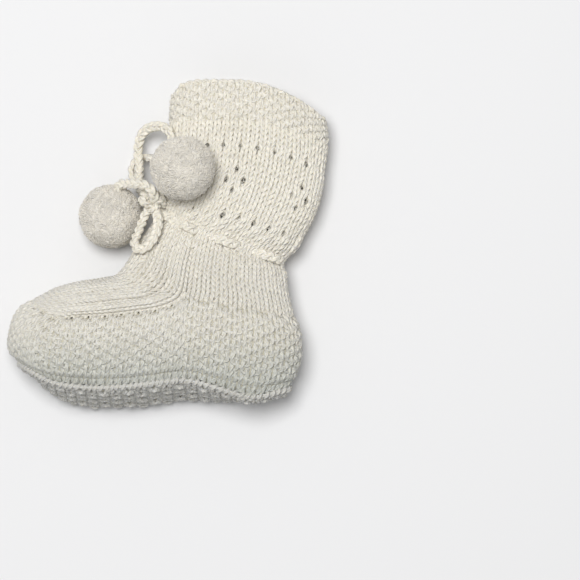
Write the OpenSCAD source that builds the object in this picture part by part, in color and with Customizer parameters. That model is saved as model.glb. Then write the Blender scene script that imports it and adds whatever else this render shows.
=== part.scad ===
// Knitted baby bootie lying on its side, with a crocheted draw cord tied in a bow and two pompoms.
// +X points to the heel, +Y up the leg, +Z up from the surface it lies on; the toe points to -X.
// The origin is on that surface, under the middle of the bootie without its bow and pompoms.

/* [Foot] */
// Length of the foot from heel to toe
foot_length = 112; // [108:1:116]
// Thickness of the foot as it lies on its side
foot_thickness = 34; // [32:1:36]

/* [Leg] */
// Height from the sole to the top of the cuff
boot_height = 124; // [120:1:128]
// Thickness of the leg as it lies on its side
leg_thickness = 26; // [25:0.5:27]

/* [Knit] */
// Thickness of the knitted fabric
fabric = 2.6; // [2.2:0.1:2.8]
// Thickness of the yarn in the seams
seam_yarn = 1.8; // [1.2:0.1:2]

/* [Ties] */
// Thickness of the crocheted cord
cord_d = 4; // [3.6:0.1:4]
// Diameter of a pompom's firm ball, without its loose fibre ends
pompom_d = 20; // [18:0.5:20]
// Height of the bow's knot, which is a third wider than high
knot_d = 9; // [8:0.5:9]

/* [Hidden] */

cream = [0.93, 0.91, 0.86];
shaded_cream = [0.88, 0.86, 0.80];
pompom_white = [0.84, 0.83, 0.80];

// The outlines below are the middle of the fabric on a boot 112 long and 124 high.
scale_x = foot_length / 112;
scale_y = boot_height / 124;
leg_half = (leg_thickness - fabric) / 2;
foot_half = (foot_thickness - fabric) / 2;
floor_mid = fabric / 2;

// Levels run down the boot: 0 top of the cuff, 1 its lower edge, 2 upper eyelets, 3 lace, 4 lower
// eyelets, 5 draw cord, 7 moss-stitch band. The front goes on over the instep to 12, the toe.
CUFF_LEVEL = 1;
CORD_LEVEL = 5;
BAND_LEVEL = 7;
TOE_LEVEL = 12;
cord_margin = 0.4;
// Where the tube's upper side is, its front fold and its back fold, at each level.
side_line = [
    [24, 61.8], [23.5, 46.8], [22.5, 37.5], [20.5, 25], [16.5, 12.5], [11.5, 4.5], [8.5, -8],
    [6.5, -19.5], [0.5, -23.2], [-10, -25.3], [-22, -26.7], [-33.5, -27.3], [-43, -28]
];
front_line = [
    [2.2, 55.5], [1.5, 45.8], [1, 36.5], [0.3, 27], [-1, 18.5], [-3, 11.5], [-9, 2],
    [-14, -5.5], [-18.5, -12], [-25, -13.8], [-33.5, -15.2], [-43, -17.3], [-52, -21.5]
];
back_line = [[58.8, 47.4], [59.7, 38], [58.8, 27], [56, 15], [50, 3], [43.8, -6.5], [44, -16.5], [47.2, -27.5]];
thick_share = [0.94, 0.98, 1, 1, 0.98, 0.94, 1.1, 1.28, 1.32, 1.32, 1.28, 1.18, 1.02];
// How suddenly a course drops towards each fold; 1 is an even slope.
front_drop = [8, 4, 3, 2, 1.2, 1, 1, 1, 1, 1, 1, 1, 1];
back_drop = [2, 1.8, 2, 1.8, 1.3, 1, 1, 1];
// How round the section is above and below: a lower power is flatter.
upper_power = 0.85;
lower_power = 0.6;

// The sole's edge from toe to heel at equal steps, along its upper and its lower side.
sole_ends = [-55.2, 44.5];
sole_upper = [-46, -52.2, -54.5, -54.4, -53, -52.2, -55.2, -58.4, -55.5];
sole_lower = [-46, -57.9, -61, -61.2, -60, -59, -59, -58.6, -55.5];
sole_squareness = 4;
// How much narrower the sole is than the foot, on each side.
sole_inset = 4.5;
// How far the foot's band swells out at the toe, at the heel and on its two sides.
toe_swell = 6.2;
heel_swell = 3.5;
side_swell = 3.5;

// Facets along each stretch.
fold_steps = 18;
crease_steps = 14;
level_steps = 3;
band_steps = 9;
weaves = 14;

// The ties: points along each cord's middle.
knot_at = [-6, 15.5, 21.5];
upper_loop = [
    [-8.4, 18.8, 22], [-10.6, 22, 17], [-11.4, 26, 13], [-11.5, 30.5, 10.4], [-11.9, 35, 9],
    [-11.5, 39.4, 9.2], [-9.9, 42.9, 10.8], [-6.6, 44.9, 13.6], [-2.4, 44.8, 17.6], [0.6, 42.4, 20.8],
    [1.4, 37.5, 22.2], [0.8, 31, 22], [-0.6, 25.4, 21.2], [-2, 21.4, 20.8], [-3.2, 18.8, 20.6]
];
lower_loop = [
    [-4.2, 11.2, 23.4], [-3.8, 7.8, 25.6], [-4.8, 3.6, 27.2], [-7, 0.1, 27.5], [-9.4, -1.7, 26.7],
    [-11.9, -1.5, 25.2], [-12.7, 0.9, 24], [-11.7, 3.9, 22.3], [-10.5, 7, 21.1], [-9.5, 9.8, 20.4],
    [-8.6, 12, 20.6]
];
upper_tie = [
    [-7, 16.2, 17], [-9.8, 18.8, 10.6], [-12.4, 22.8, 5], [-14.4, 27, 2.4], [-14, 30.8, 2.2],
    [-11.4, 33, 2.4], [-8.8, 33.6, 4.8], [-7.2, 33.4, 9], [-6.8, 33, 13.6], [-6.7, 32.7, 17.8]
];
lower_tie = [
    [-5.2, 17.4, 24.4], [-5.8, 19.6, 26.7], [-7.6, 21.8, 27.2], [-10.6, 22.7, 26], [-14, 23, 23.4],
    [-16.9, 22.9, 19.9]
];
// Each pompom swings about the end of its tie.
upper_hinge = [-6.4, 32.4, 20.2];
lower_hinge = [-18.8, 22.6, 18.4];
upper_pompom_at = [5.7, 28.5, 35.6];
lower_pompom_at = [-22.3, 10.8, 12.3];
stem_gap = 0.3;

function mix(a, b, t) = a + (b - a) * t;
function unit(v) = v / max(norm(v), 0.0001);
function clamp(v, low, high) = min(max(v, low), high);
function at(list, i) = list[clamp(i, 0, len(list) - 1)];
// A smooth curve through the items of a list, at a place counted in items.
function curve(list, u) =
    let (i = clamp(floor(u), 0, len(list) - 2), t = u - i,
         a = at(list, i - 1), b = at(list, i), c = at(list, i + 1), d = at(list, i + 2))
    b + 0.5 * t * (c - a + t * (2 * a - 5 * b + 4 * c - d + t * (3 * (b - c) + d - a)));
function fit(p) = [p.x * scale_x, p.y * scale_y];

// A point on the fabric's middle and the way out of it. Angle 0 is the back fold, 90 the upper
// side, 180 the front fold and 270 the lower side.
function wall(level, angle) =
    let (front = angle > 90, turn = front ? 180 - angle : angle,
         side = fit(curve(side_line, level)), fold = fit(curve(front ? front_line : back_line, level)),
         drop = curve(front ? front_drop : back_drop, level), half = leg_half * curve(thick_share, level),
         out = fold - side, span = norm(out), power = turn < 0 ? lower_power : upper_power,
         c = max(cos(turn), 0), s = abs(sin(turn)),
         flat = unit([half * power * pow(max(s, 0.05), power - 1) * c, span * s]))
    [
        [side.x + out.x * c, side.y + out.y * pow(c, drop), floor_mid + half * (1 + sign(turn) * pow(s, power))],
        [out.x / span * flat.x, out.y / span * flat.x, sign(turn) * flat.y]
    ];

// The sole's edge: share runs from -1 at the toe to 1 at the heel, across from -1 below to 1 above.
function sole_half(share) = (foot_half - sole_inset) * sqrt(max(0, 1 - pow(abs(share), sole_squareness)));
function sole_point(share, across, grow = 0) =
    let (along = (share + 1) / 2, u = along * (len(sole_upper) - 1), half = sole_half(share),
         rise = (across * half / (foot_half - sole_inset) + 1) / 2)
    [
        mix(sole_ends[0], sole_ends[1], along) * scale_x + sign(share) * grow * pow(abs(share), 8),
        mix(curve(sole_lower, u), curve(sole_upper, u), rise) * scale_y,
        floor_mid + foot_half + across * (half + grow)
    ];
function sole_out(share, across) =
    let (bend = pow(abs(share), sole_squareness - 1))
    unit([sign(share) * bend, 0, across * sqrt(max(0, 1 - bend * abs(share)))]);

// The band of the foot. Its upper edge goes round the heel, the upper crease, the toe and the
// lower crease; down runs from 0 there to 1 at the sole.
TOE_START = fold_steps + crease_steps;
TOE_FINISH = TOE_START + fold_steps;
BAND_COUNT = TOE_FINISH + crease_steps;
heel_middle = fold_steps / 2;
toe_middle = TOE_START + fold_steps / 2;
function band_top(i) =
    i <= fold_steps ? wall(BAND_LEVEL, mix(-90, 90, i / fold_steps))
    : i <= TOE_START ? wall(mix(BAND_LEVEL, TOE_LEVEL, (i - fold_steps) / crease_steps), 90)
    : i <= TOE_FINISH ? wall(TOE_LEVEL, mix(90.01, 270, (i - TOE_START) / fold_steps))
    : wall(mix(TOE_LEVEL, BAND_LEVEL, (i - TOE_FINISH) / crease_steps), 270);
top_ends = [band_top(toe_middle)[0].x, band_top(heel_middle)[0].x];
function band_across(i) = i < heel_middle || i > toe_middle ? -1 : 1;
function band_wall(i, down) =
    let (top = band_top(i), across = band_across(i),
         share = clamp(2 * (top[0].x - top_ends[0]) / (top_ends[1] - top_ends[0]) - 1, -1, 1),
         out = sole_out(share, across), low = sole_point(share, across) + [0, down * fabric / 2, 0],
         swell = (out.x < 0 ? -toe_swell : heel_swell) * out.x + side_swell * abs(out.z),
         p = mix(top[0], low, down) + out * swell * (1 - pow(abs(2 * down - 1), 3)))
    [[p.x, p.y, max(p.z, floor_mid)], unit(mix(top[1], out, min(1, 2 * down)))];

// A slab of fabric round a grid of points, each with its way out. A closed grid is a tube.
function skin(grid, off) = [for (row = grid, g = row)
    let (p = g[0] + g[1] * off) [p.x, p.y, max(p.z, off > 0 ? 0 : fabric)]];
module slab(grid, closed = false) {
    rows = len(grid);
    cols = len(grid[0]);
    inner = rows * cols;
    last = (rows - 1) * cols;
    wrap = closed ? cols - 1 : cols - 2;
    polyhedron(concat(skin(grid, fabric / 2), skin(grid, -fabric / 2)), [
        for (r = [0:rows - 2], c = [0:wrap])
            let (n = (c + 1) % cols, a = r * cols + c, b = r * cols + n, d = a + cols, e = b + cols)
            each [[a, b, e], [a, e, d], [inner + a, inner + e, inner + b], [inner + a, inner + d, inner + e]],
        for (c = [0:wrap]) let (n = (c + 1) % cols)
            each [[c, inner + n, n], [c, inner + c, inner + n],
                [last + c, last + n, inner + last + n], [last + c, inner + last + n, inner + last + c]],
        if (!closed) for (r = [0:rows - 2])
            let (a = r * cols, d = a + cols, b = a + cols - 1, e = b + cols)
            each [[a, d, inner + d], [a, inner + d, inner + a], [b, inner + e, e], [b, inner + b, inner + e]]
    ]);
}

// A round cord swept along points. The spare way is one that the cord never runs along.
module tube(points, d, spare, closed = false, sides = 8) {
    n = len(points);
    rings = [for (i = [0:n - 1])
        let (before = closed ? points[(i + n - 1) % n] : at(points, i - 1),
             after = closed ? points[(i + 1) % n] : at(points, i + 1),
             way = unit(after - before), u = unit(cross(way, spare)), v = cross(way, u))
        for (k = [0:sides - 1]) points[i] + d / 2 * (cos(360 * k / sides) * u + sin(360 * k / sides) * v)];
    walls = [for (i = [0:(closed ? n - 1 : n - 2)], k = [0:sides - 1])
        let (m = (k + 1) % sides, a = i * sides + k, b = i * sides + m,
             j = (i + 1) % n, c = j * sides + k, e = j * sides + m)
        each [[a, e, b], [a, c, e]]];
    ends = [[for (k = [0:sides - 1]) k], [for (k = [sides - 1:-1:0]) (n - 1) * sides + k]];
    polyhedron(rings, closed ? walls : concat(walls, ends));
}
function route(points) = [for (i = [0:2 * (len(points) - 1)])
    let (p = curve(points, i / 2)) [p.x * scale_x, p.y * scale_y, p.z]];
function spot(p) = [p.x * scale_x, p.y * scale_y, p.z];

function levels(from, to) = [for (i = [0:round((to - from) * level_steps)])
    mix(from, to, i / round((to - from) * level_steps))];
function ring(level) = [for (i = [0:2 * fold_steps - 1]) wall(level, -90 + 180 * i / fold_steps)];

module cuff_band() {
    color(cream) slab([for (l = levels(0, CUFF_LEVEL)) ring(l)], true);
}

module leg_panel() {
    color(cream) slab([for (l = levels(CUFF_LEVEL, CORD_LEVEL - cord_margin)) ring(l)], true);
}

module ankle_band() {
    color(cream) slab([for (l = [-1:1]) ring(CORD_LEVEL + l * cord_margin)], true);
}

// The lower leg behind the instep creases.
module heel_panel() {
    color(cream) slab([for (l = levels(CORD_LEVEL + cord_margin, BAND_LEVEL))
        [for (i = [0:fold_steps]) wall(l, mix(-90, 90, i / fold_steps))]]);
}

// From the draw cord down the front of the ankle and along the instep to the toe.
module instep_flap() {
    downs = concat(levels(CORD_LEVEL + cord_margin, BAND_LEVEL),
        [for (i = [1:crease_steps]) mix(BAND_LEVEL, TOE_LEVEL, i / crease_steps)]);
    color(cream) slab([for (l = downs) [for (i = [0:fold_steps]) wall(l, mix(90.01, 270, i / fold_steps))]]);
}

module foot_band() {
    color(cream) slab([for (r = [0:band_steps]) [for (i = [0:BAND_COUNT - 1]) band_wall(i, r / band_steps)]], true);
}

module sole() {
    long_steps = 26;
    wide_steps = 8;
    color(shaded_cream) slab([for (i = [0:long_steps])
        let (share = sin(mix(-84, 84, i / long_steps)))
        [for (k = [0:wide_steps]) [sole_point(share, mix(1, -1, k / wide_steps), floor_mid), [0, -1, 0]]]]);
}

// The raised stitching where the band meets the sole.
module sole_seam() {
    proud = fabric / 2;
    color(cream) tube([for (i = [0:BAND_COUNT - 1])
        let (w = band_wall(i, 1), p = w[0] + w[1] * proud)
        [p.x, p.y - fabric / 2, max(p.z, seam_yarn / 2)]], seam_yarn, [0, 1, 0], true);
}

// The ridge inside the back, from the cuff to the sole.
module back_seam() {
    inside = fabric / 2 + seam_yarn / 2 + 0.1;
    seam_steps = 20;
    leg = [for (i = [0:seam_steps]) wall(mix(0.1, BAND_LEVEL, i / seam_steps), 0)];
    heel = [for (i = [1:band_steps - 1]) band_wall(heel_middle, i / band_steps)];
    color(shaded_cream) tube([for (w = concat(leg, heel)) w[0] - w[1] * inside], seam_yarn, [0, 0, 1]);
}

// Runs in and out of the ankle band and comes to the knot at the front.
module draw_cord() {
    weave = 2;
    woven = [for (i = [0:2 * weaves])
        let (angle = mix(210, 510, i / (2 * weaves)), w = wall(CORD_LEVEL, angle > 270 ? angle - 360 : angle),
             p = w[0] + w[1] * weave * cos(180 * i / 2))
        [p.x, p.y, max(p.z, cord_d / 2)]];
    color(cream) tube(concat(woven, [spot([-6, 13, 17.5])]), cord_d, [0.3, 1, 0], true);
}

module bow_knot() {
    color(cream) translate(spot(knot_at)) rotate(-12) scale([1.35, 1, 1]) sphere(d = 0.96 * knot_d);
}

module bow_loop_upper() {
    color(cream) tube(route(upper_loop), cord_d, [1, 0, -0.6]);
}

module bow_loop_lower() {
    color(cream) tube(route(lower_loop), cord_d, [0, 0, 1]);
}

module tie_end_upper() {
    color(cream) tube(route(upper_tie), cord_d, [1, 0, -1]);
}

module tie_end_lower() {
    color(cream) tube(route(lower_tie), cord_d, [0, 0, 1]);
}

// The end of a tie, sewn into its pompom. The rounded end is where it bends.
module stem(from, to) {
    reach = to - from;
    span = norm(reach);
    color(shaded_cream) translate(from) rotate([0, acos(reach.z / span), atan2(reach.y, reach.x)]) {
        sphere(d = cord_d);
        cylinder(h = span - pompom_d / 2 - stem_gap, d = cord_d);
    }
}

module pompom_stem_upper() {
    stem(spot(upper_hinge), spot(upper_pompom_at));
}

module pompom_stem_lower() {
    stem(spot(lower_hinge), spot(lower_pompom_at));
}

module pompom(centre) {
    color(pompom_white) translate(centre) sphere(d = pompom_d);
}

module pompom_upper() {
    pompom(spot(upper_pompom_at));
}

module pompom_lower() {
    pompom(spot(lower_pompom_at));
}

cuff_band();
leg_panel();
ankle_band();
heel_panel();
instep_flap();
foot_band();
sole();
sole_seam();
back_seam();
draw_cord();
bow_knot();
bow_loop_upper();
bow_loop_lower();
tie_end_upper();
tie_end_lower();
pompom_stem_upper();
pompom_stem_lower();
pompom_upper();
pompom_lower();
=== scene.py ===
"""A hand-knitted baby bootie on its side, with every yarn modelled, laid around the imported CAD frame."""
import math

import bpy
import numpy as np
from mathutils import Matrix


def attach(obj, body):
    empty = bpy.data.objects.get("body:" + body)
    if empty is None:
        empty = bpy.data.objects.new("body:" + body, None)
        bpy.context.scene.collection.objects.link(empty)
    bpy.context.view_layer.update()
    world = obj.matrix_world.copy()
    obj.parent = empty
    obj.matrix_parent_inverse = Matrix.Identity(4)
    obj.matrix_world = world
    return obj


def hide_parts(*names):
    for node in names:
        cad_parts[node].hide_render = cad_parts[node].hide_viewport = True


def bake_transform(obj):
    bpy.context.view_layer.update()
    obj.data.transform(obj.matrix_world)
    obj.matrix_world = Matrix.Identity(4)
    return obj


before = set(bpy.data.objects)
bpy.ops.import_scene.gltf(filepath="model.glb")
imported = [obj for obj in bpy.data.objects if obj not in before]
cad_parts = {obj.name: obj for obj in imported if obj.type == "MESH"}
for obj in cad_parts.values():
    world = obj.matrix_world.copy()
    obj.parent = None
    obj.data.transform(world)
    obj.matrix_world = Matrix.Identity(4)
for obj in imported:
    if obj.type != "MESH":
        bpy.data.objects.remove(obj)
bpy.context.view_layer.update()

MM = 0.001

# ---------------------------------------------------------------- camera
# The view is straight down. The bootie lies left of the middle of a wide frame.
FRAME_WIDTH = 220.4 * MM
VIEW_CENTRE = (46.2 * MM, -17.3 * MM)
VIEW_LEVEL = 20 * MM
CAMERA_DISTANCE = 1.5
SENSOR = 36

camera_data = bpy.data.cameras.new("camera")
camera_data.sensor_width = SENSOR
camera_data.lens = SENSOR * CAMERA_DISTANCE / FRAME_WIDTH
camera_data.clip_end = 10
camera = bpy.data.objects.new("camera", camera_data)
camera.location = (VIEW_CENTRE[0], VIEW_CENTRE[1], VIEW_LEVEL + CAMERA_DISTANCE)
bpy.context.scene.collection.objects.link(camera)
bpy.context.scene.camera = camera

# ---------------------------------------------------------------- the bootie's surfaces, in millimetres
FABRIC = 2.6
FLOOR_MID = FABRIC / 2
LEG_HALF = (26 - FABRIC) / 2
FOOT_HALF = (34 - FABRIC) / 2
CUFF_LEVEL, LACE_LEVEL, CORD_LEVEL, BAND_LEVEL, TOE_LEVEL = 1, 3, 5, 7, 12
CORD_MARGIN = 0.4

# Levels run down the boot, from the top of the cuff to the moss-stitch band, and on over the
# instep to the toe. These are the tube's upper side, its front fold and its back fold.
SIDE_LINE = np.array([
    [24, 61.8], [23.5, 46.8], [22.5, 37.5], [20.5, 25], [16.5, 12.5], [11.5, 4.5], [8.5, -8],
    [6.5, -19.5], [0.5, -23.2], [-10, -25.3], [-22, -26.7], [-33.5, -27.3], [-43, -28]])
FRONT_LINE = np.array([
    [2.2, 55.5], [1.5, 45.8], [1, 36.5], [0.3, 27], [-1, 18.5], [-3, 11.5], [-9, 2],
    [-14, -5.5], [-18.5, -12], [-25, -13.8], [-33.5, -15.2], [-43, -17.3], [-52, -21.5]])
BACK_LINE = np.array([
    [58.8, 47.4], [59.7, 38], [58.8, 27], [56, 15], [50, 3], [43.8, -6.5], [44, -16.5], [47.2, -27.5]])
THICK_SHARE = np.array([0.94, 0.98, 1, 1, 0.98, 0.94, 1.1, 1.28, 1.32, 1.32, 1.28, 1.18, 1.02])
FRONT_DROP = np.array([8, 4, 3, 2, 1.2, 1, 1, 1, 1, 1, 1, 1, 1])
BACK_DROP = np.array([2, 1.8, 2, 1.8, 1.3, 1, 1, 1])
UPPER_POWER, LOWER_POWER = 0.85, 0.6

SOLE_ENDS = (-55.2, 44.5)
SOLE_UPPER = np.array([-46, -52.2, -54.5, -54.4, -53, -52.2, -55.2, -58.4, -55.5])
SOLE_LOWER = np.array([-46, -57.9, -61, -61.2, -60, -59, -59, -58.6, -55.5])
SOLE_SQUARENESS = 4
SOLE_HALF = FOOT_HALF - 4.5
TOE_SWELL, HEEL_SWELL, SIDE_SWELL = 6.2, 3.5, 3.5


def curve(items, u):
    """A smooth curve through items, at places u counted in items."""
    items = np.asarray(items, float)
    u = np.asarray(u, float)
    i = np.clip(np.floor(u), 0, len(items) - 2).astype(int)
    t = u - i
    if items.ndim > 1:
        t = t[..., None]
    a, b, c, d = (items[np.clip(i + k, 0, len(items) - 1)] for k in (-1, 0, 1, 2))
    return b + 0.5 * t * (c - a + t * (2 * a - 5 * b + 4 * c - d + t * (3 * (b - c) + d - a)))


def half_wall(level, turn, front):
    """The fabric's middle on the front or the back half. Turn is 0 at the fold, 90 above and -90 below."""
    turn = np.radians(turn)
    side = curve(SIDE_LINE, level)
    fold = curve(FRONT_LINE if front else BACK_LINE, level)
    drop = curve(FRONT_DROP if front else BACK_DROP, level)
    half = LEG_HALF * curve(THICK_SHARE, level)
    c, s = np.maximum(np.cos(turn), 0), np.sin(turn)
    rise = np.sign(s) * np.abs(s) ** np.where(s < 0, LOWER_POWER, UPPER_POWER)
    out = fold - side
    return np.stack([side[..., 0] + out[..., 0] * c, side[..., 1] + out[..., 1] * c ** drop,
                     FLOOR_MID + half * (1 + rise)], -1)


# Turns at even steps of length round each half, so that stitches have one width.
TABLE_STEP = 0.25
TURNS = np.linspace(-90, 90, 181)


def even_turns(front, last):
    """Rows of turns at even lengths, one row for each TABLE_STEP of level."""
    rows = []
    for level in np.arange(0, last + TABLE_STEP / 2, TABLE_STEP):
        p = half_wall(np.full(len(TURNS), level), TURNS, front)
        run = np.r_[0, np.cumsum(np.linalg.norm(np.diff(p, axis=0), axis=1))]
        rows.append(np.interp(np.linspace(0, run[-1], len(TURNS)), run, TURNS))
    return np.array(rows)


EVEN = {True: even_turns(True, TOE_LEVEL), False: even_turns(False, BAND_LEVEL)}


def half_at(level, share, front):
    """A point on one half; share runs from 0 at the lower side to 1 at the upper side."""
    table = EVEN[front]
    level, share = np.broadcast_arrays(np.asarray(level, float), np.asarray(share, float))
    r = np.clip(level / TABLE_STEP, 0, len(table) - 1.001)
    c = np.clip(share * (len(TURNS) - 1), 0, len(TURNS) - 1.001)
    i, k = r.astype(int), c.astype(int)
    a, b = r - i, c - k
    turn = ((1 - a) * (1 - b) * table[i, k] + (1 - a) * b * table[i, k + 1]
            + a * (1 - b) * table[i + 1, k] + a * b * table[i + 1, k + 1])
    return half_wall(level, turn, front)


# Stitches round the back half and the front half of the leg, and along each instep crease.
BACK_STITCHES = 26
FRONT_STITCHES = 18
CREASE_STITCHES = 16
LEG_STITCHES = BACK_STITCHES + FRONT_STITCHES
TOE_FROM = BACK_STITCHES + CREASE_STITCHES
TOE_TO = TOE_FROM + FRONT_STITCHES
BAND_STITCHES = TOE_TO + CREASE_STITCHES
ROW = 2.03


def level_of(length):
    """The level at a length down the upper side."""
    levels = np.linspace(0, TOE_LEVEL, 241)
    p = curve(SIDE_LINE, levels)
    run = np.r_[0, np.cumsum(np.linalg.norm(np.diff(p, axis=0), axis=1))]
    return np.interp(length, run, levels)


def length_of(level):
    levels = np.linspace(0, TOE_LEVEL, 241)
    p = curve(SIDE_LINE, levels)
    run = np.r_[0, np.cumsum(np.linalg.norm(np.diff(p, axis=0), axis=1))]
    return np.interp(level, levels, run)


def leg_at(u, level):
    """A point on the leg: u counts stitches from the lower side over the back and the upper side."""
    u = np.mod(u, LEG_STITCHES)
    back = half_at(np.minimum(level, BAND_LEVEL), np.clip(u / BACK_STITCHES, 0, 1), False)
    front = half_at(level, np.clip(1 - (u - BACK_STITCHES) / FRONT_STITCHES, 0, 1), True)
    return np.where((u <= BACK_STITCHES)[..., None], back, front)


def sole_half(share):
    return SOLE_HALF * np.sqrt(np.maximum(0, 1 - np.abs(share) ** SOLE_SQUARENESS))


def sole_at(share, across):
    """A point on the sole: share from -1 at the toe to 1 at the heel, across from -1 below to 1 above."""
    along = (share + 1) / 2
    u = along * (len(SOLE_UPPER) - 1)
    half = sole_half(share)
    rise = (across * half / SOLE_HALF + 1) / 2
    y = curve(SOLE_LOWER, u) * (1 - rise) + curve(SOLE_UPPER, u) * rise
    return np.stack([SOLE_ENDS[0] + (SOLE_ENDS[1] - SOLE_ENDS[0]) * along, y,
                     FLOOR_MID + FOOT_HALF + across * half], -1)


def band_top(u):
    """The upper edge of the foot's band: heel, upper crease, toe, lower crease."""
    u = np.mod(u, BAND_STITCHES)
    crease = length_of(TOE_LEVEL) - length_of(BAND_LEVEL)
    start = length_of(BAND_LEVEL)
    heel = half_at(np.full_like(u, BAND_LEVEL), np.clip(u / BACK_STITCHES, 0, 1), False)
    go = np.clip((u - BACK_STITCHES) / CREASE_STITCHES, 0, 1)
    upper = half_at(level_of(start + crease * go), np.ones_like(u), True)
    toe = half_at(np.full_like(u, TOE_LEVEL), np.clip(1 - (u - TOE_FROM) / FRONT_STITCHES, 0, 1), True)
    come = np.clip((u - TOE_TO) / CREASE_STITCHES, 0, 1)
    lower = half_at(level_of(start + crease * (1 - come)), np.zeros_like(u), True)
    pick = np.select([u <= BACK_STITCHES, u <= TOE_FROM, u <= TOE_TO], [0, 1, 2], 3)[..., None]
    return np.select([pick == 0, pick == 1, pick == 2], [heel, upper, toe], lower)


TOP_ENDS = (FRONT_LINE[-1, 0], BACK_LINE[-1, 0])


def band_at(u, down):
    """A point on the foot's band; down runs from 0 at its upper edge to 1 at the sole."""
    u = np.mod(np.asarray(u, float), BAND_STITCHES)
    top = band_top(u)
    below = (u < BACK_STITCHES / 2) | (u > (TOE_FROM + TOE_TO) / 2)
    across = np.where(below, -1.0, 1.0)
    share = np.clip(2 * (top[..., 0] - TOP_ENDS[0]) / (TOP_ENDS[1] - TOP_ENDS[0]) - 1, -1, 1)
    bend = np.abs(share) ** (SOLE_SQUARENESS - 1)
    out = np.stack([np.sign(share) * bend, 0 * share,
                    across * np.sqrt(np.maximum(0, 1 - bend * np.abs(share)))], -1)
    out /= np.maximum(np.linalg.norm(out, axis=-1, keepdims=True), 1e-6)
    swell = np.where(out[..., 0] < 0, -TOE_SWELL, HEEL_SWELL) * out[..., 0]
    swell = swell + SIDE_SWELL * np.abs(out[..., 2])
    low = sole_at(share, across)
    low[..., 1] += down * FABRIC / 2
    p = top + (low - top) * down[..., None] + out * (swell * (1 - np.abs(2 * down - 1) ** 3))[..., None]
    p[..., 2] = np.maximum(p[..., 2], FLOOR_MID)
    return p


# ---------------------------------------------------------------- materials
def nodes_of(name):
    material = bpy.data.materials.new(name)
    material.use_nodes = True
    tree = material.node_tree
    tree.nodes.clear()
    shader = tree.nodes.new("ShaderNodeBsdfPrincipled")
    output = tree.nodes.new("ShaderNodeOutputMaterial")
    tree.links.new(shader.outputs["BSDF"], output.inputs["Surface"])
    return material, tree, shader


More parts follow.
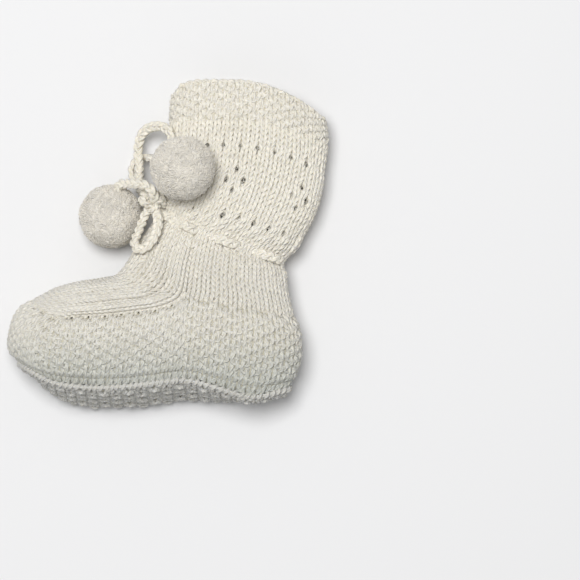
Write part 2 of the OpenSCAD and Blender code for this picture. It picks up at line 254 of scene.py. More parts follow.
def yarn_material(name, light, dark, roughness, ply_turns, ply_depth, fuzz_depth, sheen, passing, shade_heights=None,
                  shade_tint=(0.88, 0.885, 0.90)):
    """Twisted yarn. UV x runs round the yarn and y along it, counted in yarn widths.

    Passing is the share of light that goes through. The shade heights are two heights, in metres of the
    object's own Y, between which the yarn turns from its own colour to a little greyer. That greying is painted shade
    for the lower side of the boot, which faces away from the lamp.
    """
    material, tree, shader = nodes_of(name)
    new, link = tree.nodes.new, tree.links.new
    shader.inputs["Roughness"].default_value = roughness
    shader.inputs["Specular IOR Level"].default_value = 0.45
    shader.inputs["Sheen Weight"].default_value = sheen
    shader.inputs["Sheen Roughness"].default_value = 0.5
    shader.inputs["Subsurface Weight"].default_value = 0.12
    shader.inputs["Subsurface Radius"].default_value = (1.0, 0.8, 0.5)
    shader.inputs["Subsurface Scale"].default_value = 0.0012

    uv = new("ShaderNodeUVMap")
    uv.uv_map = "yarn"
    split = new("ShaderNodeSeparateXYZ")
    link(uv.outputs["UV"], split.inputs["Vector"])
    # Plies: a wave that runs round and along, so its ridges are helices.
    along = new("ShaderNodeMath")
    along.operation = "MULTIPLY"
    along.inputs[1].default_value = ply_turns
    link(split.outputs["Y"], along.inputs[0])
    turns = new("ShaderNodeMath")
    turns.operation = "MULTIPLY_ADD"
    turns.inputs[1].default_value = 3
    link(split.outputs["X"], turns.inputs[0])
    link(along.outputs[0], turns.inputs[2])
    angle = new("ShaderNodeMath")
    angle.operation = "MULTIPLY"
    angle.inputs[1].default_value = 2 * math.pi
    link(turns.outputs[0], angle.inputs[0])
    wave = new("ShaderNodeMath")
    wave.operation = "SINE"
    link(angle.outputs[0], wave.inputs[0])
    # Single fibres: fine noise in the object's own space.
    place = new("ShaderNodeTexCoord")
    fibres = new("ShaderNodeTexNoise")
    fibres.inputs["Scale"].default_value = 2600
    fibres.inputs["Detail"].default_value = 4
    link(place.outputs["Object"], fibres.inputs["Vector"])
    bump_fibre = new("ShaderNodeBump")
    bump_fibre.inputs["Strength"].default_value = 0.45
    bump_fibre.inputs["Distance"].default_value = fuzz_depth
    link(fibres.outputs["Fac"], bump_fibre.inputs["Height"])
    bump_ply = new("ShaderNodeBump")
    bump_ply.inputs["Strength"].default_value = 0.8
    bump_ply.inputs["Distance"].default_value = ply_depth
    link(wave.outputs[0], bump_ply.inputs["Height"])
    link(bump_fibre.outputs["Normal"], bump_ply.inputs["Normal"])
    link(bump_ply.outputs["Normal"], shader.inputs["Normal"])
    # Colour: broad patches, fibre grain, and painted shade: a darker line in the groove between plies.
    patches = new("ShaderNodeTexNoise")
    patches.inputs["Scale"].default_value = 70
    patches.inputs["Detail"].default_value = 3
    link(place.outputs["Object"], patches.inputs["Vector"])
    tone = new("ShaderNodeMix")
    tone.data_type = "FLOAT"
    tone.inputs[0].default_value = 0.45
    link(patches.outputs["Fac"], tone.inputs[2])
    link(fibres.outputs["Fac"], tone.inputs[3])
    ply_groove_shade = new("ShaderNodeMapRange")
    ply_groove_shade.inputs["From Min"].default_value = -1
    ply_groove_shade.inputs["From Max"].default_value = 0.2
    ply_groove_shade.inputs["To Min"].default_value = 0.25
    ply_groove_shade.inputs["To Max"].default_value = 0
    link(wave.outputs[0], ply_groove_shade.inputs["Value"])
    total = new("ShaderNodeMath")
    total.operation = "ADD"
    link(tone.outputs[0], total.inputs[0])
    link(ply_groove_shade.outputs["Result"], total.inputs[1])
    ramp = new("ShaderNodeValToRGB")
    ramp.color_ramp.elements[0].position = 0.3
    ramp.color_ramp.elements[0].color = (*light, 1)
    ramp.color_ramp.elements[1].position = 0.85
    ramp.color_ramp.elements[1].color = (*dark, 1)
    link(total.outputs[0], ramp.inputs["Fac"])
    colour = ramp.outputs["Color"]
    # Painted shade: towards lower Y the colour is multiplied by a greyer tint, in place of the shade on the
    # downward-facing side.
    if shade_heights:
        axes = new("ShaderNodeSeparateXYZ")
        link(place.outputs["Object"], axes.inputs["Vector"])
        height = new("ShaderNodeMapRange")
        height.interpolation_type = "SMOOTHSTEP"
        height.inputs["From Min"].default_value = shade_heights[0]
        height.inputs["From Max"].default_value = shade_heights[1]
        height.inputs["To Min"].default_value = 0
        height.inputs["To Max"].default_value = 1
        link(axes.outputs["Y"], height.inputs["Value"])
        painted_shade = new("ShaderNodeMix")
        painted_shade.data_type = "RGBA"
        painted_shade.blend_type = "MULTIPLY"
        painted_shade.inputs[7].default_value = (*shade_tint, 1)
        link(height.outputs["Result"], painted_shade.inputs[0])
        link(colour, painted_shade.inputs[6])
        colour = painted_shade.outputs[2]
    link(colour, shader.inputs["Base Color"])
    # Some light passes through loose yarn.
    through = new("ShaderNodeBsdfTranslucent")
    link(colour, through.inputs["Color"])
    link(bump_ply.outputs["Normal"], through.inputs["Normal"])
    both = new("ShaderNodeMixShader")
    both.inputs["Fac"].default_value = passing
    link(shader.outputs["BSDF"], both.inputs[1])
    link(through.outputs["BSDF"], both.inputs[2])
    output = next(n for n in tree.nodes if n.type == "OUTPUT_MATERIAL")
    link(both.outputs["Shader"], output.inputs["Surface"])
    return material


# Knit yarn: its own cream colour, with painted shade that turns it a little greyer from 18 mm down to -22 mm of Y.
KNIT = yarn_material("knit_yarn", (0.925, 0.885, 0.79), (0.845, 0.795, 0.68), 0.42, 0.55, 0.00014, 0.00005, 0.25, 0.08,
                     (0.018, -0.022))
# Core yarn for the web between the yarns: darker and yellower than the knit, as painted shade for the gaps.
SHADED_CORE_YARN = yarn_material("knit_core_painted_shade", (0.88, 0.84, 0.70), (0.79, 0.75, 0.60), 0.7, 0.55, 0.00012, 0.00006, 0.2, 0.5)
# Foot band yarn: a darker copy of the knit yarn, painted shade for the side of the foot that curves down away from the
# lamp, with more bluish grey painted shade towards the sole below -28 mm of Y.
SHADED_BAND_YARN = yarn_material("band_yarn_painted_shade", (0.82, 0.79, 0.71), (0.73, 0.695, 0.605), 0.45, 0.55, 0.00014, 0.00005, 0.25, 0.08,
                     (-0.028, -0.056), (0.75, 0.79, 0.81))
# Sole and welt yarn: the same white yarn painted grey, as painted shade for the sole, which faces away from the lamp.
SHADED_SOLE_YARN = yarn_material("sole_yarn_painted_shade", (0.67, 0.66, 0.62), (0.54, 0.53, 0.49), 0.6, 0.55, 0.00016, 0.00007, 0.25, 0.05)
CORD = yarn_material("cord_yarn", (0.925, 0.885, 0.79), (0.84, 0.79, 0.675), 0.42, 0.55, 0.00014, 0.00005, 0.25, 0.08)
POMPOM = yarn_material("pompom_yarn", (0.90, 0.855, 0.765), (0.80, 0.75, 0.655), 0.6, 0.3, 0.00004, 0.00005, 0.4, 0.03)


# ---------------------------------------------------------------- mesh building
def unit(v):
    return v / np.maximum(np.linalg.norm(v, axis=-1, keepdims=True), 1e-12)


class Mesh:
    """Collects tubes and sheets in millimetres, and makes one Blender object of them."""

    def __init__(self):
        self.points, self.quads, self.uvs, self.slots = [], [], [], []
        self.count = 0

    def add(self, points, quads, uvs, slot=0):
        self.points.append(points.reshape(-1, 3))
        self.quads.append(quads.reshape(-1, 4) + self.count)
        self.uvs.append(uvs.reshape(-1, 2))
        self.slots.append(np.full(len(self.quads[-1]), slot))
        self.count += len(self.points[-1])

    def tube(self, line, spare, radius, sides=6, closed=False, slot=0, flat=1.0):
        """A yarn along line. Spare is a way, or one for each point, that the yarn doesn't run along."""
        n = len(line)
        if closed:
            way = unit(np.roll(line, -1, 0) - np.roll(line, 1, 0))
        else:
            way = unit(np.gradient(line, axis=0))
        side = unit(np.cross(way, np.broadcast_to(spare, way.shape)))
        up = np.cross(side, way)
        radius = np.broadcast_to(np.asarray(radius, float), (n,))
        a = 2 * np.pi * np.arange(sides) / sides
        ring = (line[:, None] + radius[:, None, None]
                * (np.cos(a)[:, None] * side[:, None] + flat * np.sin(a)[:, None] * up[:, None]))
        step = np.linalg.norm(np.diff(line, axis=0, append=line[:1]), axis=1)
        run = np.r_[0, np.cumsum(step)] / (2 * radius.mean())
        rows = np.arange(n if closed else n - 1)
        i, k = np.meshgrid(rows, np.arange(sides), indexing="ij")
        j, m = (i + 1) % n, (k + 1) % sides
        quads = np.stack([i * sides + k, j * sides + k, j * sides + m, i * sides + m], -1)
        u0, u1, v0, v1 = k / sides, (k + 1) / sides, run[i], run[i + 1]
        uvs = np.stack([np.stack(c, -1) for c in ((u0, v0), (u0, v1), (u1, v1), (u1, v0))], -2)
        points, quads, uvs = ring.reshape(-1, 3), quads.reshape(-1, 4), uvs.reshape(-1, 4, 2)
        if not closed:
            # Each end closes on a middle point, with quads that share the end ring's points.
            points = np.vstack([points, ring[0].mean(0), ring[-1].mean(0)])
            c = np.arange(0, sides, 2)
            d, e, f = c, (c + 1) % sides, (c + 2) % sides
            last = (n - 1) * sides
            start = np.stack([d, e, f, np.full(len(c), n * sides)], -1)
            end = np.stack([last + f, last + e, last + d, np.full(len(c), n * sides + 1)], -1)
            quads = np.vstack([quads, start, end])
            uvs = np.concatenate([uvs, np.zeros((2 * len(c), 4, 2))])
        self.add(points, quads, uvs, slot)

    def sheet(self, middle, normal, thick, keep, closed, slot):
        """A thin solid sheet on a grid of points, left open where keep is false."""
        rows, cols = middle.shape[:2]
        outer, inner = middle + normal * thick / 2, middle - normal * thick / 2
        points = np.concatenate([outer.reshape(-1, 3), inner.reshape(-1, 3)])
        n = rows * cols
        quads = []
        wide = cols if closed else cols - 1
        for r in range(rows - 1):
            for c in range(wide):
                if not keep[r, c]:
                    continue
                a, b = r * cols + c, r * cols + (c + 1) % cols
                d, e = a + cols, b + cols
                quads += [(a, b, e, d), (n + a, n + d, n + e, n + b)]
                west = keep[r, (c - 1) % wide] if (closed or c > 0) else False
                east = keep[r, (c + 1) % wide] if (closed or c < wide - 1) else False
                if not (r > 0 and keep[r - 1, c]):
                    quads.append((b, a, n + a, n + b))
                if not (r < rows - 2 and keep[r + 1, c]):
                    quads.append((d, e, n + e, n + d))
                if not west:
                    quads.append((a, d, n + d, n + a))
                if not east:
                    quads.append((e, b, n + b, n + e))
        quads = np.array(quads)
        self.add(points, quads, np.zeros((len(quads), 4, 2)), slot)

    def build(self, name, materials, smooth=True):
        points = np.concatenate(self.points) * MM
        points[:, 2] = np.maximum(points[:, 2], 0.0002)
        quads = np.concatenate(self.quads)
        used = np.unique(quads)
        index = np.zeros(len(points), int)
        index[used] = np.arange(len(used))
        quads = index[quads]
        mesh = bpy.data.meshes.new(name)
        mesh.vertices.add(len(used))
        mesh.vertices.foreach_set("co", points[used].ravel())
        mesh.loops.add(quads.size)
        mesh.loops.foreach_set("vertex_index", quads.ravel())
        mesh.polygons.add(len(quads))
        mesh.polygons.foreach_set("loop_start", np.arange(0, quads.size, 4))
        layer = mesh.uv_layers.new(name="yarn")
        layer.data.foreach_set("uv", np.concatenate(self.uvs).ravel())
        mesh.polygons.foreach_set("material_index", np.concatenate(self.slots))
        mesh.polygons.foreach_set("use_smooth", np.full(len(quads), smooth))
        mesh.update(calc_edges=True)
        mesh.validate()
        for material in materials:
            mesh.materials.append(material)
        piece = bpy.data.objects.new(name, mesh)
        bpy.context.scene.collection.objects.link(piece)
        return piece


def place(piece, body, slot, *replaced):
    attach(piece, body)
    if replaced:
        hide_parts(*replaced)


# ---------------------------------------------------------------- knitting
YARN = 0.8
STEPS = 12
LOOP_WIDE = 0.2
LOOP_TALL = 0.98
LOOP_DEEP = 0.55
rng = np.random.default_rng(7)


def swell_of(p):
    """Slow unevenness of hand knitting that has been worn and laid down, in millimetres."""
    x, y, z = p[..., 0], p[..., 1], p[..., 2]
    return (0.28 * np.sin(x / 4.1 + y / 6.3 + 0.5) * np.sin(y / 5.2 - z / 7.1 + 1.3)
            + 0.22 * np.sin(x / 8.7 - y / 7.9 + 2.1) + 0.16 * np.sin(x / 2.9 + z / 3.3 + 0.7) * np.sin(y / 3.1))


def surface(at, u, v, ends, relief):
    """Point and normal of a surface at stitch u and row v. It runs on straight past its ends."""
    e = 0.05
    near = np.clip(v, ends[0] + e, ends[1] - e)
    du = at(u + e, near) - at(u - e, near)
    dv = at(u, near + e) - at(u, near - e)
    normal = unit(np.cross(du, dv))
    p = at(u, near) + dv * ((v - near) / (2 * e))[..., None]
    lift = swell_of(p) + (relief(u, v) if relief else 0)
    return p + normal * np.asarray(lift)[..., None], normal


def opened(u, v, eyelets, wrap):
    """Pushes stitches away from each eyelet, given by its stitch, its row and its size."""
    for e_u, e_v, size in eyelets:
        du = u - e_u
        if wrap:
            du = (du + wrap / 2) % wrap - wrap / 2
        x, y = du * STITCH, (v - e_v) * ROW
        r = np.sqrt(x * x + y * y) + 1e-6
        far = np.sqrt(r * r + (size * EYELET) ** 2 * np.exp(-(r / EYELET_REACH) ** 2))
        u = u + (far / r - 1) * x / STITCH
        v = v + (far / r - 1) * y / ROW
    return u, v


STITCH = 3.1
EYELET = 1.5
EYELET_REACH = 2.6


def knit(mesh, at, stitches, rows, purl, closed, ends=(-99, 99), eyelets=(), relief=None, yarn=YARN,
         deep=LOOP_DEEP, uneven=0.05):
    """Courses of loops on a surface. purl(i, j) says which stitches show their back."""
    u0 = np.arange(stitches * STEPS + (0 if closed else 1)) / STEPS
    t = 2 * np.pi * u0
    wrap = stitches if closed else 0
    i = np.floor(u0).astype(int)
    # What a yarn does in one stitch passes smoothly into what it does in the next.
    s = np.clip((u0 - i - 0.5) * 2.2 + 0.5, 0, 1)
    s = s * s * (3 - 2 * s)

    def along(values):
        if closed:
            values[-1] = values[0]
        return values[i] * (1 - s) + values[i + 1] * s

    for j in rows:
        face = along(np.array([-1.0 if purl(k % stitches if closed else k, j) else 1.0
                               for k in range(stitches + 2)])[:stitches + (1 if closed else 2)])
        count = stitches + (1 if closed else 2)
        wide = along(LOOP_WIDE * (1 + uneven * rng.standard_normal(count)))
        tall = along(LOOP_TALL * (1 + uneven * rng.standard_normal(count)))
        shift = along(0.03 * rng.standard_normal(count))
        u = u0 + wide * np.sin(2 * t)
        v = j + 0.5 - tall * np.cos(t) + shift
        u, v = opened(u, v, eyelets, wrap)
        p, normal = surface(at, u, v, ends, relief)
        p = p - normal * (deep * np.cos(2 * t) * face)[..., None]
        mesh.tube(p, normal, yarn, closed=closed)
    # A thin web in the middle of the fabric closes the gaps between yarns, but not the eyelets. It takes the darker,
    # yellower core yarn: painted shade in the gaps.
    fine = 2
    r = np.arange(rows[0] * fine, (rows[-1] + 1) * fine + 1) / fine
    c = np.arange(stitches * fine + (0 if closed else 1)) / fine
    u, v = np.meshgrid(c, r)
    keep = np.ones((len(r) - 1, stitches * fine), bool)
    mid_u, mid_v = np.meshgrid(c[:stitches * fine] + 0.5 / fine, r[:-1] + 0.5 / fine)
    for e_u, e_v, _ in eyelets:
        du = mid_u - e_u
        if wrap:
            du = (du + wrap / 2) % wrap - wrap / 2
        keep &= (np.abs(du) > 0.3) | (np.abs(mid_v - e_v) > 0.3)
    u, v = opened(u, v, eyelets, wrap)
    p, normal = surface(at, u, v, ends, relief)
    mesh.sheet(p, normal, 0.4, keep, closed, 1)
    # Loose fibres and thin plies cross behind each eyelet.
    reach = np.linspace(-2.3, 2.3, 7)
    for e_u, e_v, _ in eyelets:
        for k in range(5):
            turn, off = rng.uniform(0, np.pi), rng.uniform(-0.75, 0.75)
            x = reach * np.cos(turn) - off * np.sin(turn)
            y = reach * np.sin(turn) + off * np.cos(turn)
            p, normal = surface(at, e_u + x / STITCH, e_v + y / ROW, ends, relief)
            p = p - normal * (0.15 * k + 0.3 * rng.uniform(0, 1) * (1 - (reach / 2.3) ** 2))[..., None]
            mesh.tube(p, normal, rng.uniform(0.1, 0.2))


def knit_face(i, j):
    return False


def moss(i, j):
    return (i + j) % 2 == 0


def garter(i, j):
    return j % 2 == 0


def dip(x, width):
    """A groove one deep at x = 0."""
    return -np.exp(-(x / width) ** 2)


def between(from_level, to_level, rows):
    """The row-to-level rule of a stretch with that many rows."""
    start, end = length_of(from_level), length_of(to_level)
    return lambda v: level_of(start + (end - start) * v / rows)


def eyelet_row(v):
    """An eyelet at every second stitch. Hand knitting leaves some more open than others."""
    return [(k + 0.5, v, rng.uniform(0.62, 1.08)) for k in range(0, LEG_STITCHES, 2)]


def make_cuff():
    rows = 8
    level = between(0.07, CUFF_LEVEL, rows)
    mesh = Mesh()
    knit(mesh, lambda u, v: leg_at(u, level(v)), LEG_STITCHES, range(rows), moss, True, (0, 99),
         relief=lambda u, v: 0.35 + 0.35 * dip(v - rows, 1.0))
    # The cast-off edge is a chain along the top.
    u = np.arange(LEG_STITCHES * 6) / 6
    p, normal = surface(lambda a, b: leg_at(a, level(b)), u, np.full_like(u, -0.1), (0, 99), None)
    plait(mesh, p, normal, 0.62, 0.75, 0.3, LEG_STITCHES // 3, closed=True)
    place(mesh.build("cuff", [KNIT, SHADED_CORE_YARN]), "bootie", "knit_yarn", "cuff_band")


def make_leg():
    rows = 20
    level = between(CUFF_LEVEL, CORD_LEVEL - CORD_MARGIN, rows)
    eyelets = eyelet_row(4.5) + eyelet_row(17.5)
    for centre in (0.5, 8.5, 16.5, 24.5, 32.5):
        for across, down in ((0, 9), (-1, 11), (1, 11), (0, 13)):
            eyelets.append((centre + across, down, rng.uniform(0.6, 1.05)))
    mesh = Mesh()

    def relief(u, v):
        puff = 0.55 * np.exp(-((v - rows + 1.5) / 1.6) ** 2) * (1 + np.cos(np.pi * u))
        return 0.3 * dip(v - 4.5, 1.2) + 0.3 * dip(v - 17.5, 1.2) + puff

    knit(mesh, lambda u, v: leg_at(u, level(v)), LEG_STITCHES, range(rows), knit_face, True,
         eyelets=eyelets, relief=relief)
    place(mesh.build("leg", [KNIT, SHADED_CORE_YARN]), "bootie", "knit_yarn", "leg_panel")


def make_ankle():
    rows = 4
    level = between(CORD_LEVEL - CORD_MARGIN, CORD_LEVEL + CORD_MARGIN, rows)
    mesh = Mesh()

    def relief(u, v):
        return (1.1 - 0.25 * np.cos(np.pi * u)) * dip(v - 2, 1.3)

    knit(mesh, lambda u, v: leg_at(u, level(v)), LEG_STITCHES, range(rows), knit_face, True,
         eyelets=eyelet_row(2), relief=relief)
    place(mesh.build("ankle", [KNIT, SHADED_CORE_YARN]), "bootie", "knit_yarn", "ankle_band")


def make_heel():
    rows = 10
    level = between(CORD_LEVEL + CORD_MARGIN, BAND_LEVEL, rows)
    mesh = Mesh()

    def relief(u, v):
        gather = 0.4 * np.exp(-((v - 1) / 1.6) ** 2) * (1 + np.cos(np.pi * u))
        return 1.5 * dip(BACK_STITCHES - u, 0.8) + 0.7 * dip(u, 0.9) + 0.4 * dip(v - rows, 1) + gather

    knit(mesh, lambda u, v: half_at(level(v), np.clip(u / BACK_STITCHES, 0, 1), False), BACK_STITCHES,
         range(rows), knit_face, False, (-99, rows), relief=relief)
    place(mesh.build("heel", [KNIT, SHADED_CORE_YARN]), "bootie", "knit_yarn", "heel_panel")


def make_flap():
    rows = 34
    level = between(CORD_LEVEL + CORD_MARGIN, TOE_LEVEL, rows)
    mesh = Mesh()

    def folds(d, v):
        """The crease beside the heel and the band, with two soft folds along it."""
        along = np.clip((v - 1) / 5, 0, 1) * np.clip((rows - 2 - v) / 8, 0, 1)
        wander = 0.35 * np.sin(v / 4.5)
        return (1.8 * np.clip((rows - v) / 4, 0.3, 1) * dip(d, 0.8) + along * (0.6 * np.exp(-((d - 1.3) / 0.6) ** 2)
                + 1.3 * dip(d - 2.3 - wander, 0.45) + 0.5 * np.exp(-((d - 3.3 - wander) / 0.6) ** 2)
                + 1.0 * dip(d - 4.4 - wander, 0.45) + 0.3 * np.exp(-((d - 5.6) / 0.8) ** 2)))

    def relief(u, v):
        return folds(u, v) + 0.8 * dip(FRONT_STITCHES - u, 0.8) + 0.4 * dip(v - rows, 1)

    knit(mesh, lambda u, v: half_at(level(v), np.clip(1 - u / FRONT_STITCHES, 0, 1), True),
         FRONT_STITCHES, range(rows), knit_face, False, (-99, rows), relief=relief)
    place(mesh.build("instep", [KNIT, SHADED_CORE_YARN]), "bootie", "knit_yarn", "instep_flap")


def make_band():
    rows = 14
    mesh = Mesh()

    def relief(u, v):
        mitre = sum(dip(u - e, 0.9) for e in (TOE_FROM, TOE_TO))
        creases = (np.clip(np.minimum(u - BACK_STITCHES + 1, TOE_FROM - u) / 2, 0, 1)
                   + np.clip(np.minimum(u - TOE_TO, BAND_STITCHES + 1 - u) / 2, 0, 1))
        return ((0.35 + 0.75 * creases) * dip(v, 0.9) + 0.5 * dip(v - rows, 0.9)
                + 0.45 * mitre * np.clip(1.3 - v / rows, 0, 1) * np.clip(v, 0, 1))

    def purl(i, j):
        return garter(i, j) if j > rows - 4 else moss(i, j)

    knit(mesh, lambda u, v: band_at(u, v / rows), BAND_STITCHES, range(rows), purl, True, (0, rows),
         relief=relief)
    # The foot band takes the darker band yarn, which holds painted shade.
    place(mesh.build("foot", [SHADED_BAND_YARN, SHADED_CORE_YARN]), "bootie", "knit_yarn", "foot_band")


def make_sole():
    stitches, rows = 30, 14
    mesh = Mesh()

    def at(u, v):
        share = np.sin(np.radians(84 * (2 * u / stitches - 1)))
        p = sole_at(np.clip(share, -0.995, 0.995), np.clip(2 * v / rows - 1, -1, 1))
        return p

    def relief(u, v):
        edge = np.clip(v, 0, 1.5) * np.clip(rows - v, 0, 1.5) / 2.25
        return edge * 0.8 * np.cos(np.pi * u) * np.cos(np.pi * v / 2.5)

    knit(mesh, at, stitches, range(rows), moss, False, (0, rows), relief=relief, deep=0.8, yarn=0.85, uneven=0.1)
    # The sole takes the grey sole yarn, which holds painted shade.
    place(mesh.build("sole", [SHADED_SOLE_YARN, SHADED_CORE_YARN]), "bootie", "knit_yarn", "sole")


# ---------------------------------------------------------------- seams and cords
def plait(mesh, line, normal, yarn, wide, deep, turns, closed=False, flat=1.0):
    """Three yarns plaited along a line, which is how a crocheted chain looks."""
    n = len(line)
    way = unit(np.roll(line, -1, 0) - np.roll(line, 1, 0)) if closed else unit(np.gradient(line, axis=0))
    side = unit(np.cross(way, normal))
    up = np.cross(side, way)
    run = np.arange(n) / (n if closed else n - 1)
    for k in range(3):
        a = 2 * np.pi * (run * turns + k / 3)
        p = line + wide * np.sin(a)[:, None] * side + deep * np.sin(2 * a)[:, None] * up
        mesh.tube(p, up, yarn, closed=closed, flat=flat)


STRAND = 0.9
CORD_WIDE = 1.15
CORD_DEEP = 0.55
CHAIN_PITCH = 8.6
CORD_STEP = 0.45


def smooth_line(points, step=CORD_STEP):
    """Evenly spaced points along the smooth curve through a route."""
    points = np.array(points, float)
    fine = curve(points, np.linspace(0, len(points) - 1, 40 * len(points)))
    run = np.r_[0, np.cumsum(np.linalg.norm(np.diff(fine, axis=0), axis=1))]
    even = np.linspace(0, run[-1], max(int(run[-1] / step), 8))
    return np.stack([np.interp(even, run, fine[:, k]) for k in range(3)], -1), run[-1]


def carried(line, first):
    """Normals that turn as little as they can along a line."""
    way = unit(np.gradient(line, axis=0))
    normals = [unit(first - way[0] * (first @ way[0]))]
    for w in way[1:]:
        n = normals[-1] - w * (normals[-1] @ w)
        normals.append(unit(n))
    return np.array(normals)


KNOT_AT = np.array([-6, 15.5, 21.5])
UPPER_LOOP = [
    (-8.4, 18.8, 22), (-10.6, 22, 17), (-11.4, 26, 13), (-11.5, 30.5, 10.4), (-11.9, 35, 9),
    (-11.5, 39.4, 9.2), (-9.9, 42.9, 10.8), (-6.6, 44.9, 13.6), (-2.4, 44.8, 17.6), (0.6, 42.4, 20.8),
    (1.4, 37.5, 22.2), (0.8, 31, 22), (-0.6, 25.4, 21.2), (-2, 21.4, 20.8), (-3.2, 18.8, 20.6)]
LOWER_LOOP = [
    (-4.2, 11.2, 23.4), (-3.8, 7.8, 25.6), (-4.8, 3.6, 27.2), (-7, 0.1, 27.5), (-9.4, -1.7, 26.7),
    (-11.9, -1.5, 25.2), (-12.7, 0.9, 24), (-11.7, 3.9, 22.3), (-10.5, 7, 21.1), (-9.5, 9.8, 20.4),
    (-8.6, 12, 20.6)]
UPPER_TIE = [
    (-7, 16.2, 17), (-9.8, 18.8, 10.6), (-12.4, 22.8, 5), (-14.4, 27, 2.4), (-14, 30.8, 2.2),
    (-11.4, 33, 2.4), (-8.8, 33.6, 4.8), (-7.2, 33.4, 9), (-6.8, 33, 13.6), (-6.7, 32.7, 17.8)]
LOWER_TIE = [
    (-5.2, 17.4, 24.4), (-5.8, 19.6, 26.7), (-7.6, 21.8, 27.2), (-10.6, 22.7, 26), (-14, 23, 23.4),
    (-16.9, 22.9, 19.9)]
UPPER_HINGE = np.array([-6.4, 32.4, 20.2])
LOWER_HINGE = np.array([-18.8, 22.6, 18.4])
UPPER_POMPOM = np.array([5.7, 28.5, 35.6])
LOWER_POMPOM = np.array([-22.3, 10.8, 12.3])


def make_cord(name, route, first_normal):
    line, length = smooth_line(route)
    mesh = Mesh()
    normals = carried(line, np.array(first_normal, float))
    plait(mesh, line, normals, STRAND, CORD_WIDE, CORD_DEEP, round(length / CHAIN_PITCH * 3) / 3)
    return mesh.build(name, [CORD, SHADED_CORE_YARN]), line, length


def make_loop(name, node, route):
    inward = 0.35
    route = [tuple(np.array(route[0]) + inward * (KNOT_AT - route[0])), *route,
             tuple(np.array(route[-1]) + inward * (KNOT_AT - route[-1]))]
    piece, line, length = make_cord(name, route, (0, 0, 1))
    place(piece, "bootie", "cord_yarn", node)


def make_tie(name, nodes, route, hinge, ball):
    """A tie from the knot into its pompom, through its hinge point and straight on into the ball."""
    into = hinge + (ball - hinge) * 0.8
    route = [tuple(KNOT_AT), *route, tuple(hinge), tuple((hinge + into) / 2), tuple(into)]
    piece, line, length = make_cord(name, route, (0.3, 0, 1))
    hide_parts(*nodes)
    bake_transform(piece)


def make_draw_cord():
    weaves, weave = 14, 1.7
    half = np.linspace(0, 2 * weaves, 2 * weaves * 8 + 1)
    angle = 210 + 300 * half / (2 * weaves)
    turn = np.mod(angle, 360)
    front = (turn > 90) & (turn < 270)
    share = np.where(front, (180 - turn + 90) / 180, ((turn + 180) % 360 - 180 + 90) / 180)
    u = np.where(front, BACK_STITCHES + (1 - share) * FRONT_STITCHES, share * BACK_STITCHES)
    p, normal = surface(leg_at, u, np.full_like(u, float(CORD_LEVEL)), (0, 99), None)
    p = p + normal * (weave * np.cos(np.pi * half / 2))[:, None]
    p[:, 2] = np.maximum(p[:, 2], 1.9)
    route = np.vstack([p[::4], [[-6, 13, 17.5]]])
    route = np.vstack([route, route[:1]])
    line, length = smooth_line(route)
    line = line[:-1]
    mesh = Mesh()
    plait(mesh, line, np.array([0.3, 1, 0]), STRAND, CORD_DEEP, CORD_WIDE, round(length / CHAIN_PITCH),
          closed=True)
    place(mesh.build("draw_string", [CORD, SHADED_CORE_YARN]), "bootie", "cord_yarn", "draw_cord")


def make_knot():
    """The cord crosses itself three times, pulled tight."""
    t = np.linspace(0, 2 * np.pi, 180, endpoint=False)
    x = 1.55 * (np.sin(t) + 2 * np.sin(2 * t))
    y = 1.0 * (np.cos(t) - 2 * np.cos(2 * t))
    z = -2.3 * np.sin(3 * t)
    lean = math.radians(-12)
    line = KNOT_AT + np.stack([x * math.cos(lean) - y * math.sin(lean),
                               x * math.sin(lean) + y * math.cos(lean), z], -1)
    mesh = Mesh()
    plait(mesh, line, unit(line - KNOT_AT) + np.array([0, 0, 0.5]), 0.8, 0.95, 0.45, 6, closed=True)
    place(mesh.build("knot", [CORD, SHADED_CORE_YARN]), "bootie", "cord_yarn", "bow_knot")


def make_sole_seam():
    u = np.arange(BAND_STITCHES * 12) / 12
    p = band_at(u, np.full_like(u, 0.98))
    normal = unit(np.cross(band_at(u + 0.05, np.full_like(u, 0.95)) - band_at(u - 0.05, np.full_like(u, 0.95)),
                           band_at(u, np.full_like(u, 1.0)) - band_at(u, np.full_like(u, 0.9))))
    p = p + normal * 0.9 + np.array([0, -0.7, 0])
    p[:, 2] = np.maximum(p[:, 2], 1.3)
    # The seam is oversewn: one yarn that winds round the joined edges, three times in two stitches.
    way = unit(np.roll(p, -1, 0) - np.roll(p, 1, 0))
    side = unit(np.cross(way, normal))
    up = np.cross(side, way)
    uneven = 0.12 * np.sin(2 * np.pi * u * 29 / BAND_STITCHES) + 0.1 * np.sin(2 * np.pi * u * 13 / BAND_STITCHES)
    turn = 2 * np.pi * (1.5 * u + uneven)[:, None]
    mesh = Mesh()
    mesh.tube(p + 0.85 * np.cos(turn) * side + 0.7 * np.sin(turn) * up, way, 0.72, closed=True)
    mesh.tube(p, normal, 0.8, closed=True)
    # The welt takes the grey sole yarn, which holds painted shade.
    place(mesh.build("welt", [SHADED_SOLE_YARN, SHADED_CORE_YARN]), "bootie", "seam_yarn", "sole_seam")


def make_back_seam():
    inside = FABRIC / 2 + 0.9
    level = np.linspace(0.1, BAND_LEVEL, 200)
    leg, leg_normal = surface(leg_at, np.full_like(level, BACK_STITCHES / 2), level, (0, 99), None)
    down = np.linspace(0.05, 0.85, 60)
    heel, heel_normal = surface(band_at, np.full_like(down, BACK_STITCHES / 2), down, (0, 1), None)
    line = np.vstack([leg - leg_normal * inside, heel - heel_normal * inside])
    mesh = Mesh()
    plait(mesh, line, np.vstack([leg_normal, heel_normal]), 0.45, 0.5, 0.25, 26)
    place(mesh.build("inner_seam", [KNIT, SHADED_CORE_YARN]), "bootie", "seam_yarn", "back_seam")


# ---------------------------------------------------------------- pompoms
POMPOM_CORE = 11.7
POMPOM_OUT = 12.0
STRANDS = 12000


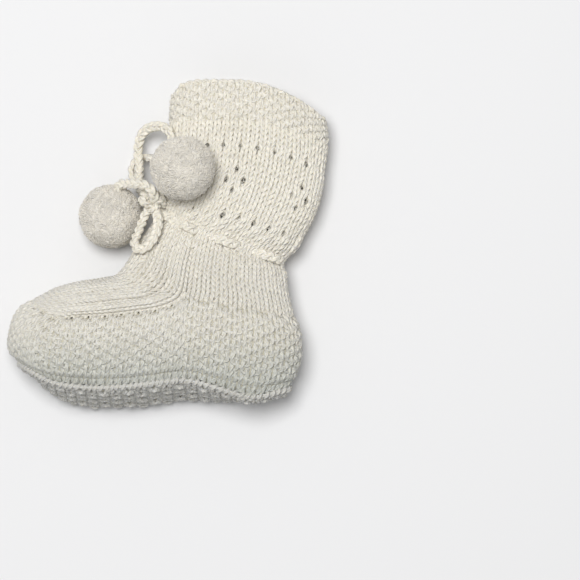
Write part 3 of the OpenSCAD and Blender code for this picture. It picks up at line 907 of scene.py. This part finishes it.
def bumps(d):
    """Clumps on a pompom, from about -1 to 1, for directions d."""
    x, y, z = d[..., 0], d[..., 1], d[..., 2]
    return (np.sin(5.1 * x + 2.3 * y + 1.1) * np.sin(4.3 * y - 3.7 * z)
            + 0.7 * np.sin(11.7 * z + 1.9 + 7.1 * x) * np.sin(10.3 * x - 9.9 * y)
            + 0.5 * np.sin(19 * x + 8 * y + 2) * np.sin(17 * y - 9 * z) * np.sin(18 * z + 5 * x)) / 1.7


def make_pompom(name, node, body, centre):
    mesh = Mesh()
    # The firm middle, as a cube's grid blown up to a ball.
    n = 20
    g = np.tan(np.linspace(-np.pi / 4, np.pi / 4, n + 1))
    a, b = np.meshgrid(g, g, indexing="ij")
    for axis in range(3):
        for sign in (-1, 1):
            p = np.stack([np.full_like(a, sign), a * sign, b], -1)
            p = unit(np.roll(p, axis, -1))
            p = centre + p * (POMPOM_CORE + 0.42 * bumps(p))[..., None]
            i, k = np.meshgrid(np.arange(n), np.arange(n), indexing="ij")
            q = i * (n + 1) + k
            quads = np.stack([q, q + n + 1, q + n + 2, q + 1], -1)
            mesh.add(p, quads, np.zeros((quads.size // 4, 4, 2)), 1)
    # Cut yarn ends, all round.
    k = np.arange(STRANDS) + 0.5
    lift, turn = np.arccos(1 - 2 * k / STRANDS), np.pi * (1 + 5 ** 0.5) * k
    out = np.stack([np.cos(turn) * np.sin(lift), np.sin(turn) * np.sin(lift), np.cos(lift)], -1)
    out = unit(out + 0.04 * rng.standard_normal(out.shape))
    lean = 0.16 * rng.standard_normal(out.shape) + 0.1 * np.stack(
        [np.sin(7 * out[:, 1]), np.sin(6 * out[:, 2] + 1), np.sin(8 * out[:, 0] + 2)], -1)
    reach = POMPOM_OUT + 0.42 * bumps(out) + 0.15 * rng.standard_normal(STRANDS).clip(-2, 2)
    steps = np.array([0, 0.4, 0.75, 1])
    thick = np.array([0.28, 0.28, 0.28, 0.2])
    away = 10.3 + (reach[:, None] - 10.3) * steps
    line = centre + unit(out[:, None] + lean[:, None] * steps[None, :, None] ** 2 * 0.5) * away[..., None]
    side = unit(np.cross(out, np.array([0.36, 0.48, 0.8])))
    up = np.cross(side, out)
    corners = 4
    c = 2 * np.pi * (np.arange(corners) + 0.5) / corners
    ring = (line[:, :, None] + thick[None, :, None, None]
            * (np.cos(c)[:, None] * side[:, None, None] + np.sin(c)[:, None] * up[:, None, None]))
    s, i, k = np.meshgrid(np.arange(STRANDS), np.arange(len(steps) - 1), np.arange(corners), indexing="ij")
    base = s * len(steps) * corners
    m = (k + 1) % corners
    quads = np.stack([base + i * corners + k, base + i * corners + m, base + (i + 1) * corners + m,
                      base + (i + 1) * corners + k], -1)
    u0, v0 = k / corners, i / 1.0
    uvs = np.stack([np.stack(x, -1) for x in ((u0, v0), (u0 + 0.25, v0), (u0 + 0.25, v0 + 1), (u0, v0 + 1))], -2)
    tips = (np.arange(STRANDS) * len(steps) * corners + (len(steps) - 1) * corners)[:, None] + np.arange(4)
    quads = np.concatenate([quads.reshape(-1, 4), tips])
    uvs = np.concatenate([uvs.reshape(-1, 4, 2), np.zeros((STRANDS, 4, 2))])
    mesh.add(ring, quads, uvs, 0)
    piece = mesh.build(name, [POMPOM, POMPOM])
    place(piece, body, "pompom_yarn", node)
    return piece


make_cuff()
make_leg()
make_ankle()
make_heel()
make_flap()
make_band()
make_sole()
make_sole_seam()
make_back_seam()
make_draw_cord()
make_knot()
make_loop("upper_loop", "bow_loop_upper", UPPER_LOOP)
make_loop("lower_loop", "bow_loop_lower", LOWER_LOOP)
upper = make_pompom("upper_pompom", "pompom_upper", "ball_upper", UPPER_POMPOM)
lower = make_pompom("lower_pompom", "pompom_lower", "ball_lower", LOWER_POMPOM)
make_tie("upper_tie", ["tie_end_upper", "pompom_stem_upper"], UPPER_TIE, UPPER_HINGE, UPPER_POMPOM)
make_tie("lower_tie", ["tie_end_lower", "pompom_stem_lower"], LOWER_TIE, LOWER_HINGE, LOWER_POMPOM)

# ---------------------------------------------------------------- floor and light
floor_mesh = bpy.data.meshes.new("floor")
reach = 3.0
floor_mesh.from_pydata([(-reach, -reach, 0), (reach, -reach, 0), (reach, reach, 0), (-reach, reach, 0)], [],
                       [(0, 1, 2, 3)])
floor = bpy.data.objects.new("floor", floor_mesh)
bpy.context.scene.collection.objects.link(floor)
floor_material, floor_tree, floor_shader = nodes_of("floor")
floor_shader.inputs["Base Color"].default_value = (0.80, 0.80, 0.805, 1)
floor_shader.inputs["Roughness"].default_value = 0.9
floor_shader.inputs["Specular IOR Level"].default_value = 0.1
floor_mesh.materials.append(floor_material)

world = bpy.data.worlds.new("world")
bpy.context.scene.world = world
world.use_nodes = True
world.node_tree.nodes["Background"].inputs["Color"].default_value = (1, 1, 1, 1)
world.node_tree.nodes["Background"].inputs["Strength"].default_value = 0.36


def area_light(name, at, size, power):
    data = bpy.data.lights.new(name, "AREA")
    data.shape = "DISK"
    data.size = size
    data.energy = power
    light = bpy.data.objects.new(name, data)
    light.location = at
    light.rotation_euler = (math.acos(at[2] / math.dist(at, (0, 0, 0))), 0, math.atan2(at[0], -at[1]))
    bpy.context.scene.collection.objects.link(light)


area_light("key", (-0.17, 0.28, 1.6), 0.7, 21.3)
bpy.context.scene.view_settings.view_transform = "Standard"
